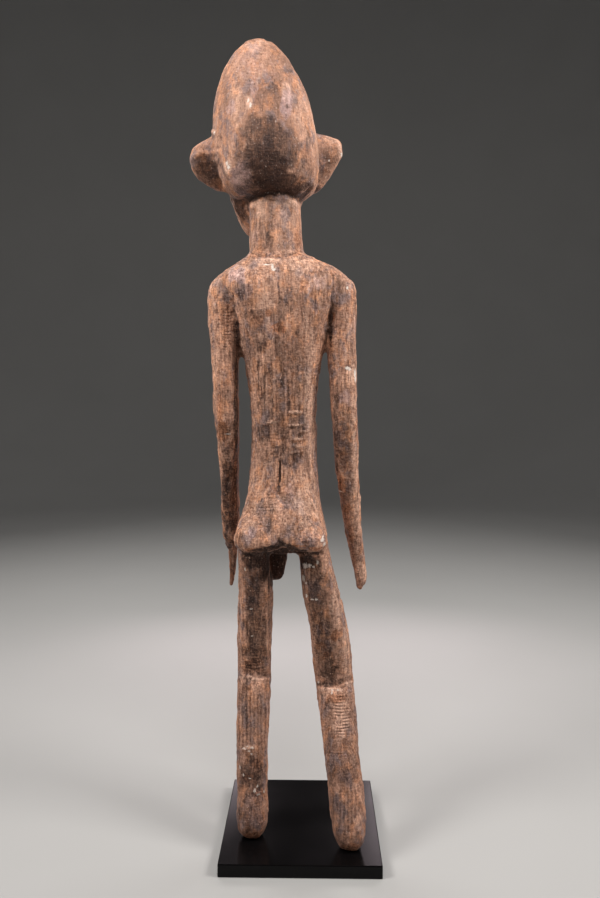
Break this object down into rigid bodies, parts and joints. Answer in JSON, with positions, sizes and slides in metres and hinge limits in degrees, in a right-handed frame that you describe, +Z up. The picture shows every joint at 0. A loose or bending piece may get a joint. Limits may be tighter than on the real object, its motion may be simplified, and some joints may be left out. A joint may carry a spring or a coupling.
{
  "type": "lobi ancestor figure",
  "caption": "Tall standing ancestor figure carved from one piece of hardwood, with an egg-shaped head, hanging arms, shelf-like buttocks and bent knees, on a square dark display plate.",
  "frame": {"origin": "centre of the display plate's underside", "axes": "+Z up along the figure's height, +Y the way the figure faces, +X towards the figure's right"},
  "size_m": [0.1448, 0.1216, 0.6102],
  "materials": {
    "carved_hardwood": "weathered, dark patina worn back to pale tan, dry and matt",
    "smoked_satin_acrylic": "near-black, satin"
  },
  "bodies": {
    "root": {"figure": "carved_hardwood", "base_plate": "smoked_satin_acrylic"}
  },
  "joints": []
}
